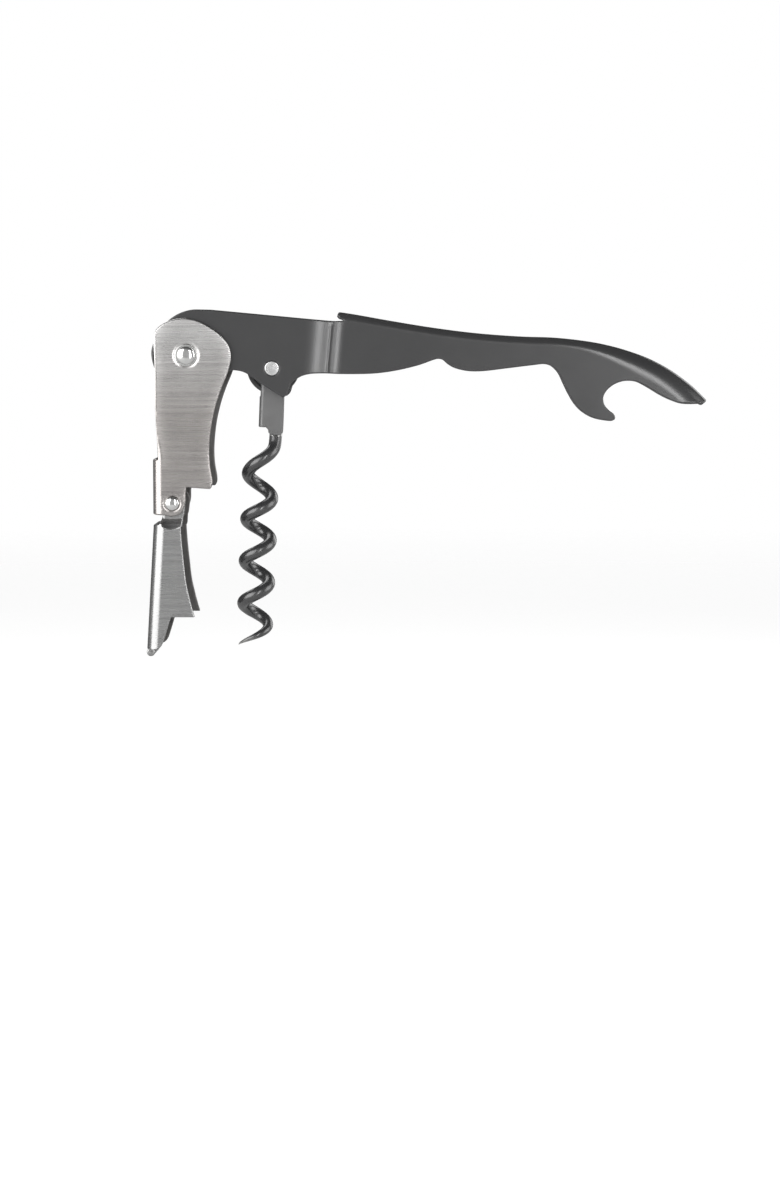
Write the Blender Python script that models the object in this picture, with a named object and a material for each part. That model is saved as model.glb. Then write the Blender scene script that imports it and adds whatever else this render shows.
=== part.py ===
"""Double-hinged waiter's corkscrew, open and hanging as it is when it pulls a cork.

Every size below is in millimetres and is turned into metres when a mesh is made. X runs along the handle,
Z is up and Y runs across the sheet channels, so every pivot lies along Y. The origin is the point on the
worm's axis where the worm enters the cork.
"""

import bpy
import bmesh
from bisect import bisect_right
from math import acos, cos, pi, radians, sin, sqrt, tau
from mathutils import Matrix, Vector

MM = 0.001

# Pivots, seen from the side
MAIN_PIVOT = Vector((-15.5, 47.7))      # lever rivet, in the object's frame
WORM_PIVOT = Vector((19.6, -1.2))       # worm pin, in the handle's own frame
BOOT_PIVOT = Vector((-3.35, -33.7))     # boot rivet, from the lever rivet
HANDLE_TILT = radians(5.2)              # the handle's far end hangs this much lower
WORM_TILT = radians(2.3)                # the worm's lower end swings this much to the left

# Stack of half widths across the channels
SHEET = 0.95
NARROW_HALF = 5.5                       # handle beyond its step, outside
HEAD_HALF = 6.7                         # handle's head, outside
LEVER_HALF = 7.95                       # upper lever and boot, outside
NECK_HALF = 6.7                         # boot's neck, inside the upper lever
COIN_DEPTH = 0.3                        # dished seat round each rivet head

# Pins, rivets and sleeves
RIVET_R = 1.5
RIVET_HEAD_R = 2.0
RIVET_RISE = 0.75
DOME_EDGE = 0.2                         # straight height of a dome's edge
WASHER_R = 2.5
WASHER_THICK = 0.3
COIN_R = 3.3
BOOT_RIVET_R = 1.1
BOOT_HEAD_R = 1.55
BOOT_RIVET_RISE = 0.7
BOOT_COIN_R = 2.2
WORM_PIN_R = 1.6
WORM_PIN_PROUD = 0.05
KNIFE_SLEEVE_R = 3.2
WORM_SLEEVE_R = 2.8
BOOT_SLEEVE_R = 2.0
CLEARANCE = 0.15                        # between a pin and its hole, and between stacked faces
SLEEVE_GAP = 0.25                       # between a sleeve's end and the face beside it
CUTTER_HALF = 10.0                      # long enough to pass through any part

# Handle
HANDLE_THICK = 1.0
STEP_START, STEP_END = 27.0, 35.5       # where the cheeks step in to the narrow channel
HANDLE_FOLD = 1.9
SPINE_TOP = 12.85

# Levers
UPPER_WEB_X = -7.85
UPPER_WEB_TOP, UPPER_WEB_BOTTOM = -23.6, -36.3
UPPER_FOLD = 2.2                        # beside the web
UPPER_EDGE_FOLD = 0.9                   # higher up, where the cheeks have a slightly curled edge and no web
BOOT_WEB_TOP = (-4.5, -4.9)
BOOT_WEB_END = (-6.2, -33.6)
BOOT_FOLD = 2.8
BOOT_NOTCH_Z = -26.05
BEAD_R = 0.95

# Worm
WIRE_R = 1.45
COIL_R = 2.85                           # axis of the coil to the middle of the wire
COIL_X = -2.1
STRAIGHT_OUT = 0.35                     # the straight wire stands this much further out than the coil
PITCH = 9.8
WORM_LENGTH = 64.0
TURN_KNOTS = ((15.4, 0.0), (18.0, 0.05), (20.0, 0.158), (22.4, 0.34), (24.5, 0.5), (30.1, 1.0),
              (35.0, 1.5), (39.8, 2.0))  # depth below the pin and turns of the coil down to there
POINT_LENGTH = 9.0
HUB_R = 6.0
HUB_HALF = 1.4
CLIP_HALF = 2.7
CLIP_R = 2.65
CLIP_BOTTOM = 13.6
TONGUE_BOTTOM = 15.3                    # where the clip's tongue ends, in front of the wire
TONGUE_LEFT = -0.45

# Knife
BLADE_HALF = 0.5
TANG_R = 4.2


# ---------------------------------------------------------------- outlines

def smooth(knots, spans=4):
    """Points of a Catmull-Rom curve through the knots, the first and the last included."""
    ends = [2 * Vector(knots[0]) - Vector(knots[1]), 2 * Vector(knots[-1]) - Vector(knots[-2])]
    path = [ends[0]] + [Vector(knot) for knot in knots] + [ends[1]]
    points = []
    for a, b, c, d in zip(path, path[1:], path[2:], path[3:]):
        for step in range(spans):
            t = step / spans
            points.append(0.5 * (2 * b + (c - a) * t + (2 * a - 5 * b + 4 * c - d) * t ** 2
                                 + (3 * b - a - 3 * c + d) * t ** 3))
    return points + [Vector(knots[-1])]


def arc(centre, radius, start, end, steps):
    """Points of an arc between two angles in degrees, both ends included."""
    angles = [radians(start + (end - start) * step / steps) for step in range(steps + 1)]
    return [Vector((centre[0] + radius * cos(a), centre[1] + radius * sin(a))) for a in angles]


def ease(t):
    """Smooth step from 0 to 1."""
    t = min(max(t, 0.0), 1.0)
    return t * t * (3 - 2 * t)


# ---------------------------------------------------------------- pressed sheet

class Spine:
    """The line that a channel's web follows, seen from the side, with the cheeks on its inner side.

    A flat blank has the coordinates s, along the spine, and v, across it: 0 to 1 is half of the web, 1 to 2
    is the fold, and beyond 2 the cheek runs on in millimetres. The fold's radius is a function of s.
    """

    def __init__(self, points, inward, fold):
        self.points = points
        self.fold = fold
        self.inward = inward
        self.lengths = [0.0]
        for a, b in zip(points, points[1:]):
            self.lengths.append(self.lengths[-1] + (b - a).length)

    def frame(self, s):
        """The spine's point and inward normal at the length s."""
        last = len(self.points) - 2
        index = min(max(bisect_right(self.lengths, s) - 1, 0), last)
        tangents = []
        for side in (index - 1, index, index + 1):
            side = min(max(side, 0), last)
            tangents.append((self.points[side + 1] - self.points[side]).normalized())
        along = (s - self.lengths[index]) / (self.lengths[index + 1] - self.lengths[index])
        inner = min(max(along, 0.0), 1.0)
        start = (tangents[0] + tangents[1]) / 2
        end = (tangents[1] + tangents[2]) / 2
        tangent = (start * (1 - inner) + end * inner).normalized()
        normal = Vector((-tangent.y, tangent.x)) * self.inward
        point = self.points[index].lerp(self.points[index + 1], along)
        return point, normal

    def develop(self, point):
        """The blank's coordinates of a point on a cheek."""
        best = None
        for index, (a, b) in enumerate(zip(self.points, self.points[1:])):
            edge = b - a
            along = min(max((point - a).dot(edge) / edge.length_squared, 0.0), 1.0)
            distance = (point - a - edge * along).length
            if best is None or distance < best[0]:
                best = (distance, self.lengths[index] + along * edge.length)
        distance, s = best
        fold = self.fold(s)
        if distance >= fold:
            return Vector((s, 2 + distance - fold))
        return Vector((s, 1 + acos(1 - distance / fold) * 2 / pi))

    def form(self, s, v, half):
        """The point of the pressed sheet's outer face for a point of the blank."""
        point, normal = self.frame(s)
        fold = self.fold(s)
        across = abs(v)
        if across <= 1:
            y, depth = across * (half - fold), 0.0
        elif across <= 2:
            turn = (across - 1) * pi / 2
            y = half - fold + fold * sin(turn)
            depth = fold * (1 - cos(turn))
        else:
            y, depth = half, fold + across - 2
        spot = point + normal * depth
        return Vector((spot.x, y if v < 0 else -y, spot.y))


def both_sides(near):
    """A closed blank: one cheek's outline, which starts and ends on the line v = 1, and its mirror image."""
    return near + [Vector((point.x, -point.y)) for point in reversed(near)]


def pressed_sheet(name, spine, blank, half_width, s_cuts, thickness, parent, material):
    """A sheet blank, creased along its folds and bent up into its channel, as one object with a Solidify."""
    bm = bmesh.new()
    bm.faces.new([bm.verts.new((point.x, point.y, 0)) for point in blank])
    creases = [step / 3 for step in range(-6, 7) if abs(step) >= 3]
    planes = [((s, 0, 0), (1, 0, 0)) for s in s_cuts] + [((0, v, 0), (0, 1, 0)) for v in creases]
    for spot, normal in planes:
        geometry = bm.verts[:] + bm.edges[:] + bm.faces[:]
        bmesh.ops.bisect_plane(bm, geom=geometry, dist=1e-4, plane_co=spot, plane_no=normal)
    for vert in bm.verts:
        s, v = vert.co.x, vert.co.y
        vert.co = spine.form(s, v, half_width(s, v)) * MM
    bm.normal_update()
    cheek = max(bm.faces, key=lambda face: face.calc_area() * abs(face.normal.y))
    if cheek.normal.y * cheek.calc_center_median().y < 0:
        bmesh.ops.reverse_faces(bm, faces=bm.faces)
    obj = add_object(name, bm, parent, material)
    solidify = obj.modifiers.new("sheet", "SOLIDIFY")
    solidify.thickness = thickness * MM
    solidify.offset = -1
    solidify.use_even_offset = True
    return obj


# ---------------------------------------------------------------- objects

def clear_scene():
    for obj in list(bpy.data.objects):
        bpy.data.objects.remove(obj, do_unlink=True)


def surface(name, color, metallic, roughness):
    material = bpy.data.materials.new(name)
    material.use_nodes = True
    shader = material.node_tree.nodes["Principled BSDF"]
    shader.inputs["Base Color"].default_value = (*color, 1)
    shader.inputs["Metallic"].default_value = metallic
    shader.inputs["Roughness"].default_value = roughness
    return material


def axis_empty(name, place, angle=0.0, parent=None):
    """An empty on a pivot; a positive angle turns the far end of +X down."""
    empty = bpy.data.objects.new(name, None)
    bpy.context.scene.collection.objects.link(empty)
    empty.empty_display_size = 5 * MM
    empty.location = (place[0] * MM, 0, place[1] * MM)
    empty.rotation_euler = (0, angle, 0)
    empty.parent = parent
    return empty


def add_object(name, bm, parent, material):
    mesh = bpy.data.meshes.new(name)
    bm.to_mesh(mesh)
    bm.free()
    mesh.shade_smooth()
    mesh.set_sharp_from_angle(angle=radians(30))
    mesh.materials.append(material)
    obj = bpy.data.objects.new(name, mesh)
    bpy.context.scene.collection.objects.link(obj)
    obj.parent = parent
    return obj


def turned(name, profile, parent, material, place=(0, 0), segments=32):
    """A solid turned about the line along Y through place. The profile is a list of (radius, y)."""
    bm = bmesh.new()
    verts = [bm.verts.new((radius * MM, y * MM, 0)) for radius, y in profile]
    ring = profile[0][0] > 0
    count = len(verts) if ring else len(verts) - 1
    edges = [bm.edges.new((verts[i], verts[(i + 1) % len(verts)])) for i in range(count)]
    bmesh.ops.spin(bm, geom=verts + edges, cent=(0, 0, 0), axis=(0, 1, 0), angle=tau, steps=segments)
    bmesh.ops.remove_doubles(bm, verts=bm.verts, dist=1e-7)
    bmesh.ops.recalc_face_normals(bm, faces=bm.faces)
    obj = add_object(name, bm, parent, material)
    obj.location = (place[0] * MM, 0, place[1] * MM)
    return obj


def hole(obj, label, radius, place=(0, 0), half_length=CUTTER_HALF, y=0.0, segments=32):
    """Cuts a round hole along Y with a hidden cutter and a Boolean."""
    bm = bmesh.new()
    facing = Matrix.Rotation(pi / 2, 4, "X")
    bmesh.ops.create_cone(bm, cap_ends=True, segments=segments, radius1=radius * MM, radius2=radius * MM,
                          depth=2 * half_length * MM, matrix=facing)
    cutter = add_object(f"{obj.name}_{label}_cutter", bm, obj.parent, obj.data.materials[0])
    cutter.location = (place[0] * MM, y * MM, place[1] * MM)
    cutter.hide_render = True
    cutter.display_type = "WIRE"
    cut = obj.modifiers.new(label, "BOOLEAN")
    cut.operation = "DIFFERENCE"
    cut.object = cutter


def coined_seats(obj, radius, place=(0, 0)):
    """The shallow dished seats that a rivet's heads lie in, on both outer faces."""
    reach = 1.0
    for side, label in ((-1, "near_seat"), (1, "far_seat")):
        hole(obj, label, radius, place, reach, side * (LEVER_HALF - COIN_DEPTH + reach))


def sleeve_pair(name, start, end, bore, outer, parent, material, place=(0, 0)):
    """Two equal sleeves, on the near and on the far side of the middle."""
    for side, label in ((-1, "near"), (1, "far")):
        profile = [(bore, side * start), (outer, side * start), (outer, side * end), (bore, side * end)]
        turned(f"{name}_{label}", profile, parent, material, place, 24)


def domed_rivet(name, shank, head, seat, rise, parent, material, place=(0, 0)):
    """A cross rivet: a shank with a dome at each end, which starts at the distance seat from the middle."""
    profile = []
    for side in (-1, 1):
        end = []
        for step in range(6):
            angle = pi / 2 * step / 5
            height = seat + DOME_EDGE + (rise - DOME_EDGE) * cos(angle)
            end.append((head * sin(angle), side * height))
        end += [(head, side * seat), (shank, side * seat)]
        profile += end if side < 0 else end[::-1]
    return turned(name, profile, parent, material, place)


# ---------------------------------------------------------------- handle

def handle_outline(spine):
    """One cheek of the handle as a blank, from the spine's tip round the bottom edge to the spine's lip."""
    runs = [
        [(117.6, 1.5), (117.4, 0.5), (117.0, -0.25)],
        [(117.0, -0.25), (115.0, -0.6), (113.0, -0.75), (111.0, -0.35), (108.5, 0.6), (105.5, 2.05),
         (103.2, 3.0), (101.3, 3.35), (99.3, 3.1), (97.4, 2.2), (95.9, 0.75), (95.25, -0.9), (95.6, -2.5),
         (96.7, -3.65), (97.9, -4.4), (98.4, -5.3), (97.9, -6.0), (96.5, -6.15), (93.5, -5.85),
         (91.0, -4.85), (89.0, -3.1), (87.4, -0.9), (86.0, 1.4), (84.8, 3.4), (83.2, 4.8), (81.3, 5.35),
         (78.5, 4.85), (72.5, 3.55), (67.5, 2.5), (64.0, 2.2), (61.0, 2.6), (59.2, 3.4), (58.2, 4.15),
         (57.2, 4.35), (56.0, 4.0), (52.5, 2.4), (47.5, 0.75), (42.5, -0.35), (36.0, -1.05), (31.5, -1.3),
         (28.2, -1.75), (25.8, -2.75), (24.3, -4.1), (23.95, -5.6), (23.6, -6.8), (22.8, -7.6)],
        [(22.8, -7.6), (20.4, -6.4), (17.4, -4.9), (14.2, -3.0), (12.0, -2.45), (9.5, -2.75), (6.5, -4.6),
         (3.0, -6.9), (-0.5, -7.8), (-4.0, -6.8), (-6.8, -3.9), (-8.0, -0.4), (-7.6, 2.5), (-6.6, 5.0),
         (-4.9, 7.3), (-2.6, 9.2), (0.2, 10.35), (3.6, 10.7)],
        [(3.6, 10.7), (31.0, 10.65), (34.0, 10.85)],
        [(34.0, 10.85), (34.8, 11.15), (34.2, 11.45), (33.5, 11.7)],
    ]
    points = []
    for run in runs:
        points += smooth(run, 3 if len(run) > 3 else 1)[:-1]
    cheek = [spine.develop(Vector(point)) for point in points]
    tip_s = spine.lengths[-1]
    lip_s = spine.develop(Vector((33.4, SPINE_TOP))).x
    near = [Vector((tip_s, 1.0)), Vector((tip_s, 1.6))] + cheek
    return near + [Vector((lip_s, 1.5)), Vector((lip_s, 1.0))]


def make_handle(parent, material):
    top = [(-12, SPINE_TOP), (10, SPINE_TOP), (30, SPINE_TOP), (36, 12.7), (45, 11.95), (55, 11.25),
           (65, 10.9), (75, 11.05), (83, 11.5), (90, 11.4), (95, 10.95), (100, 10.05), (105, 8.7),
           (110, 6.6), (115, 3.6), (118.9, 0.5)]
    spine = Spine(smooth(top, 5), -1, lambda s: HANDLE_FOLD)
    offset = spine.develop(Vector((0, SPINE_TOP))).x

    def half_width(s, v):
        inward = ease((s - offset - STEP_START) / (STEP_END - STEP_START))
        return HEAD_HALF + (NARROW_HALF - HEAD_HALF) * inward

    step_cuts = [offset + STEP_START + (STEP_END - STEP_START) * cut / 8 for cut in range(9)]
    spine_cuts = [offset + u for u in range(40, 120, 4)]
    blank = both_sides(handle_outline(spine))
    handle = pressed_sheet("handle", spine, blank, half_width, step_cuts + spine_cuts, HANDLE_THICK,
                           parent, material)
    hole(handle, "rivet_hole", RIVET_R + CLEARANCE)
    hole(handle, "worm_pin_hole", WORM_PIN_R + CLEARANCE, WORM_PIVOT)
    return handle


# ---------------------------------------------------------------- levers

def make_upper_lever(parent, material):
    top_s = 12 - UPPER_WEB_TOP
    bottom_s = 12 - UPPER_WEB_BOTTOM

    def fold(s):
        return UPPER_EDGE_FOLD + (UPPER_FOLD - UPPER_EDGE_FOLD) * ease((s - top_s + 8) / 8)

    spine = Spine([Vector((UPPER_WEB_X, 12)), Vector((UPPER_WEB_X, -40))], 1, fold)
    head = [(-6.7, UPPER_WEB_TOP), (-6.75, -20.5), (-7.05, -15), (-7.3, -9), (-7.2, -3), (-7.4, 2),
            (-7.4, 4.3), (-6.5, 6.1), (-4.3, 7.6), (-1.0, 8.4), (2.2, 7.95), (5.0, 6.65), (8.0, 4.45),
            (9.75, 2.0), (10.2, -0.6), (9.5, -3.9), (8.0, -7.6), (6.7, -11.5), (5.7, -16), (5.2, -21),
            (5.3, -25), (5.8, -28), (5.8, -29.5), (5.3, -30.4)]
    neck = [(-0.1, -30.0), (-0.3, -31.5), (-0.4, -33.7), (-1.3, -35.8), (-3.3, -36.65), (-5.1, -36.4)]
    points = smooth(head, 3) + smooth(neck, 3)
    cheek = [spine.develop(Vector(point)) for point in points]
    near = [Vector((top_s, 1.0)), Vector((top_s, 1.3))] + cheek + [Vector((bottom_s, 1.0))]
    cuts = [12 - z for z in (4, -6, -15, -17, -19, -21, -26, -31)]
    lever = pressed_sheet("upper_lever", spine, both_sides(near), lambda s, v: LEVER_HALF, cuts, SHEET,
                          parent, material)
    hole(lever, "rivet_hole", RIVET_R + CLEARANCE)
    hole(lever, "boot_rivet_hole", BOOT_RIVET_R + CLEARANCE, BOOT_PIVOT)
    coined_seats(lever, COIN_R)
    coined_seats(lever, BOOT_COIN_R, BOOT_PIVOT)
    return lever


def make_boot_lever(parent, material):
    web_top, web_end = Vector(BOOT_WEB_TOP), Vector(BOOT_WEB_END)
    down = (web_end - web_top).normalized()
    spine = Spine([web_top - down * 12, web_end + down * 4], 1, lambda s: BOOT_FOLD)
    neck = arc((0, 0), 2.9, 200, -2, 14)
    right = [(2.6, -2.6), (2.0, -4.6), (1.95, -6.5), (2.2, -10), (2.6, -14), (3.05, -18), (3.7, -21.2),
             (4.4, -24), (5.0, BOOT_NOTCH_Z)]
    tongue = [(-0.5, BOOT_NOTCH_Z), (-1.2, -28.3), (-1.9, -30.6), (-2.5, -32.3), (-3.3, -33.3),
              (-4.6, -33.7)]
    left = [(-3.2, -4.7), (-2.85, -3.8), (-2.85, -2.2)]
    points = smooth(left, 3) + neck + smooth(right, 3) + smooth(tongue, 3)
    cheek = [spine.develop(Vector(point)) for point in points]
    top_s = spine.develop(web_top).x
    end_s = spine.develop(web_end).x
    near = [Vector((top_s, 1.0)), Vector((top_s, 1.3))] + cheek + [Vector((end_s, 1.0))]

    def half_width(s, v):
        return NECK_HALF + (LEVER_HALF - NECK_HALF) * ease((s - top_s + 1.6) / 2.6)

    cuts = [top_s + offset for offset in (-7, -3, -1.6, -1.1, -0.6, -0.1, 0.4, 1.0, 6, 12, 18, 24)]
    boot = pressed_sheet("boot_lever", spine, both_sides(near), half_width, cuts, SHEET, parent, material)
    hole(boot, "rivet_hole", BOOT_RIVET_R + CLEARANCE)
    bead_z = BOOT_WEB_END[1] - 0.75
    bead = turned("boot_bead_guide", [(0, -5.6), (BEAD_R, -5.6), (BEAD_R, 5.6), (0, 5.6)], parent, material,
                  (BOOT_WEB_END[0] + BEAD_R - 0.1, bead_z), 20)
    bead.hide_render = True
    bead.display_type = "WIRE"
    join = boot.modifiers.new("bead", "BOOLEAN")
    join.operation = "UNION"
    join.object = bead
    return boot


# ---------------------------------------------------------------- worm

def make_worm_carrier(parent, material):
    """The folded clip: a web on its left below the hub, and two plates that reach up round the pin."""
    web_x = -CLIP_R - 0.15
    spine = Spine([Vector((web_x, 5)), Vector((web_x, -18))], 1, lambda s: 0.9)
    web_top = -HUB_R - 0.5
    crown = arc((0, 0), CLIP_R, 180, 0, 12)
    plate = [Vector((-CLIP_R, web_top))] + crown
    plate += smooth([(CLIP_R, -8.0), (2.6, 0.6 - TONGUE_BOTTOM), (1.9, -TONGUE_BOTTOM),
                     (0.5, -TONGUE_BOTTOM), (TONGUE_LEFT, 0.5 - TONGUE_BOTTOM),
                     (TONGUE_LEFT - 0.1, -0.6 - CLIP_BOTTOM), (TONGUE_LEFT - 0.6, -CLIP_BOTTOM)], 2)
    plate.append(Vector((-2.2, -CLIP_BOTTOM)))
    cheek = [spine.develop(point) for point in plate]
    near = [Vector((5 - web_top, 1.0))] + cheek + [Vector((5 + CLIP_BOTTOM, 1.0))]
    clip = pressed_sheet("worm_carrier", spine, both_sides(near), lambda s, v: CLIP_HALF, [5, 9, 15], SHEET,
                         parent, material)
    hole(clip, "pin_hole", WORM_PIN_R + CLEARANCE)
    return clip


def worm_path():
    """The wire's middle line: straight down out of the clip, then a right-handed coil to the point."""
    last_depth, last_turn = TURN_KNOTS[-1]
    turns = last_turn + (WORM_LENGTH - last_depth) / PITCH
    knots = list(TURN_KNOTS)
    knots += [(last_depth + PITCH * more, last_turn + more) for more in (0.5, 1.0, 1.5, 2.0)]
    knots.append((WORM_LENGTH, turns))
    top = HUB_R + 1.0
    steps = [Vector((top + (TURN_KNOTS[0][0] - top) * step / 4, 0.0)) for step in range(4)]
    steps += smooth(knots, 8)
    points = []
    for depth, turn in steps:
        angle = -tau * turn
        radius = COIL_R + STRAIGHT_OUT * (1 - ease(turn / 0.4))
        points.append(Vector((COIL_X + radius * cos(angle), radius * sin(angle), -depth)))
    return points


def make_worm(parent, material):
    points = worm_path()
    curve = bpy.data.curves.new("worm_wire", "CURVE")
    curve.dimensions = "3D"
    curve.bevel_depth = WIRE_R * MM
    curve.bevel_resolution = 3
    curve.use_fill_caps = True
    spline = curve.splines.new("POLY")
    spline.points.add(len(points) - 1)
    for index, point in enumerate(points):
        to_point = (point + Vector((0, 0, WORM_LENGTH))).z
        taper = min(1.0, 0.12 + 0.88 * sqrt(max(to_point, 0.0) / POINT_LENGTH))
        spline.points[index].co = (*(point * MM), 1)
        spline.points[index].radius = taper
    curve.materials.append(material)
    obj = bpy.data.objects.new("worm", curve)
    bpy.context.scene.collection.objects.link(obj)
    obj.parent = parent
    return obj


# ---------------------------------------------------------------- knife

def make_knife(parent, material):
    """A short foil cutter, closed along the top of the handle's head."""
    tang = arc((0, 0), TANG_R, 110, 320, 16)
    edge = smooth([(7.5, 2.6), (11.0, 5.2), (13.5, 5.5)], 3)
    edge += smooth([(28.0, 5.5), (31.5, 6.3), (33.2, 8.0)], 3)
    back = smooth([(32.4, 9.6), (29.0, 10.2), (12.0, 10.2), (4.0, 8.6), (0.5, 5.6)], 3)
    bm = bmesh.new()
    outline = [bm.verts.new((point.x * MM, -BLADE_HALF * MM, point.y * MM)) for point in tang + edge + back]
    face = bm.faces.new(outline)
    grown = bmesh.ops.extrude_face_region(bm, geom=[face])
    moved = [item for item in grown["geom"] if isinstance(item, bmesh.types.BMVert)]
    bmesh.ops.translate(bm, verts=moved, vec=(0, 2 * BLADE_HALF * MM, 0))
    bmesh.ops.recalc_face_normals(bm, faces=bm.faces)
    blade = add_object("knife_blade", bm, parent, material)
    hole(blade, "pivot_hole", RIVET_R + CLEARANCE)
    return blade


# ---------------------------------------------------------------- assembly

def main():
    clear_scene()
    coated = surface("dark_coated_steel", (0.075, 0.075, 0.078), 0.3, 0.45)
    brushed = surface("brushed_stainless", (0.62, 0.60, 0.58), 1.0, 0.32)
    polished = surface("polished_steel", (0.80, 0.80, 0.80), 1.0, 0.12)
    wire = surface("black_wire_coating", (0.03, 0.03, 0.032), 0.2, 0.25)
    clip_grey = surface("grey_plated_steel", (0.20, 0.20, 0.20), 0.7, 0.42)
    plastic = surface("dark_plastic", (0.05, 0.05, 0.05), 0.0, 0.5)
    blade_steel = surface("blade_steel", (0.70, 0.70, 0.70), 1.0, 0.22)

    handle_axis = axis_empty("handle_axis", MAIN_PIVOT, HANDLE_TILT)
    knife_axis = axis_empty("knife_axis", MAIN_PIVOT, HANDLE_TILT)
    lever_axis = axis_empty("lever_axis", MAIN_PIVOT)
    boot_axis = axis_empty("boot_axis", BOOT_PIVOT, 0.0, lever_axis)
    worm_axis = axis_empty("worm_axis", WORM_PIVOT, WORM_TILT - HANDLE_TILT, handle_axis)

    make_handle(handle_axis, coated)
    make_upper_lever(lever_axis, brushed)
    make_boot_lever(boot_axis, brushed)
    make_worm_carrier(worm_axis, clip_grey)
    make_worm(worm_axis, wire)
    make_knife(knife_axis, blade_steel)

    seat = LEVER_HALF - COIN_DEPTH
    washer = (seat + CLEARANCE, seat + CLEARANCE + WASHER_THICK)
    domed_rivet("lever_rivet", RIVET_R, RIVET_HEAD_R, washer[1] + CLEARANCE, RIVET_RISE, handle_axis,
                polished)
    sleeve_pair("lever_washer", washer[0], washer[1], RIVET_R + CLEARANCE, WASHER_R, lever_axis, polished)
    domed_rivet("boot_rivet", BOOT_RIVET_R, BOOT_HEAD_R, seat + CLEARANCE, BOOT_RIVET_RISE, boot_axis,
                polished)
    pin_end = HEAD_HALF + WORM_PIN_PROUD
    turned("worm_pin", [(0, -pin_end), (WORM_PIN_R, -pin_end), (WORM_PIN_R, pin_end), (0, pin_end)],
           handle_axis, polished, WORM_PIVOT)

    head_inside = HEAD_HALF - HANDLE_THICK - SLEEVE_GAP
    sleeve_pair("knife_spacer", BLADE_HALF + SLEEVE_GAP, head_inside, RIVET_R + CLEARANCE, KNIFE_SLEEVE_R,
                handle_axis, plastic)
    sleeve_pair("worm_spacer", CLIP_HALF + SLEEVE_GAP, head_inside, WORM_PIN_R + CLEARANCE, WORM_SLEEVE_R,
                handle_axis, plastic, WORM_PIVOT)
    bore = WORM_PIN_R + CLEARANCE
    turned("worm_hub", [(bore, -HUB_HALF), (HUB_R, -HUB_HALF), (HUB_R, HUB_HALF), (bore, HUB_HALF)],
           worm_axis, plastic, (0, 0), 40)
    neck_inside = NECK_HALF - SHEET - SLEEVE_GAP
    bore = BOOT_RIVET_R + CLEARANCE
    sleeve = [(bore, -neck_inside), (BOOT_SLEEVE_R, -neck_inside), (BOOT_SLEEVE_R, neck_inside),
              (bore, neck_inside)]
    turned("boot_sleeve", sleeve, boot_axis, plastic, (0, 0), 24)


main()
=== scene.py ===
"""The looks of a double-hinged waiter's corkscrew, round its CAD frame. Sizes are in millimetres."""

from math import acos, cos, exp, pi, radians, sin, tau

import bmesh
import bpy
import numpy as np
from mathutils import Matrix, Vector
from mathutils.geometry import delaunay_2d_cdt


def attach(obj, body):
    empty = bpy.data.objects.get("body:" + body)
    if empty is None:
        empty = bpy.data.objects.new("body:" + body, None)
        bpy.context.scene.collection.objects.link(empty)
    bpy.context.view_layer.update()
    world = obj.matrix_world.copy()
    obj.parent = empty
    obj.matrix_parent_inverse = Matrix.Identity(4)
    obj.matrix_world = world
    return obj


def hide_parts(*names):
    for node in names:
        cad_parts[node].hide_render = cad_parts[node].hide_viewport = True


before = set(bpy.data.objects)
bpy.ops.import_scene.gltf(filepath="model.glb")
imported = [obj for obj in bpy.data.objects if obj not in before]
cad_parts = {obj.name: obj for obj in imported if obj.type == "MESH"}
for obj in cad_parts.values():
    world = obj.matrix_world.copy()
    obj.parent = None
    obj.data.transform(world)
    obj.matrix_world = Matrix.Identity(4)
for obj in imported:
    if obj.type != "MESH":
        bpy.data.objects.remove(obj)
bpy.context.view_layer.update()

MM = 0.001

# Pivots, as in the CAD
MAIN_PIVOT = Vector((-15.5, 47.7))
WORM_PIVOT = Vector((19.6, -1.2))
BOOT_PIVOT = Vector((-3.35, -33.7))
HANDLE_TILT = radians(5.2)
WORM_TILT = radians(2.3)

# Sheets: how thick they are, and half of how wide each channel is over its cheeks
SHEET, HANDLE_THICK = 0.95, 1.0
NARROW_HALF, HEAD_HALF = 5.5, 6.7
LEVER_HALF, NECK_HALF = 7.95, 6.7

# Rivets, their pressed seats, and the sleeves and gaps on them
RIVET_R, RIVET_HEAD_R, RIVET_RISE, WASHER_R, WASHER_THICK, COIN_R = 1.5, 2.0, 0.75, 2.5, 0.3, 3.3
BOOT_RIVET_R, BOOT_HEAD_R, BOOT_RISE, BOOT_COIN_R = 1.1, 1.55, 0.7, 2.2
WORM_PIN_R, PIN_PROUD = 1.6, 0.05
COIN_DEPTH = 0.3
CLEARANCE, SLEEVE_GAP, BORE_GAP = 0.15, 0.25, 0.1
KNIFE_SLEEVE_R, WORM_SLEEVE_R, BOOT_SLEEVE_R = 3.2, 2.8, 2.0

# The handle's top, the worm's clip, hub and wire, and the knife
SPINE_TOP = 12.85
CLIP_HALF, CLIP_R, CLIP_BOTTOM, TONGUE_BOTTOM, TONGUE_LEFT = 2.7, 2.65, 13.6, 15.3, -0.45
HUB_R, HUB_HALF = 6.0, 1.4
HUB_GROOVE, HUB_GROOVE_DEPTH = (2.6, 5.1), 0.25
WIRE_R, COIL_R, COIL_X, STRAIGHT_OUT, PITCH, WORM_LENGTH = 1.45, 2.85, -2.1, 0.35, 9.8, 64.0
TURN_KNOTS = ((15.4, 0.0), (18.0, 0.05), (20.0, 0.158), (22.4, 0.34), (24.5, 0.5), (30.1, 1.0),
              (35.0, 1.5), (39.8, 2.0))
BLADE_HALF, TANG_R = 0.5, 4.2
BELLY, TEETH, TEETH_START, TEETH_LENGTH, TOOTH_DEPTH = 5.5, 12, 13.5, 14.5, 0.38


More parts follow.
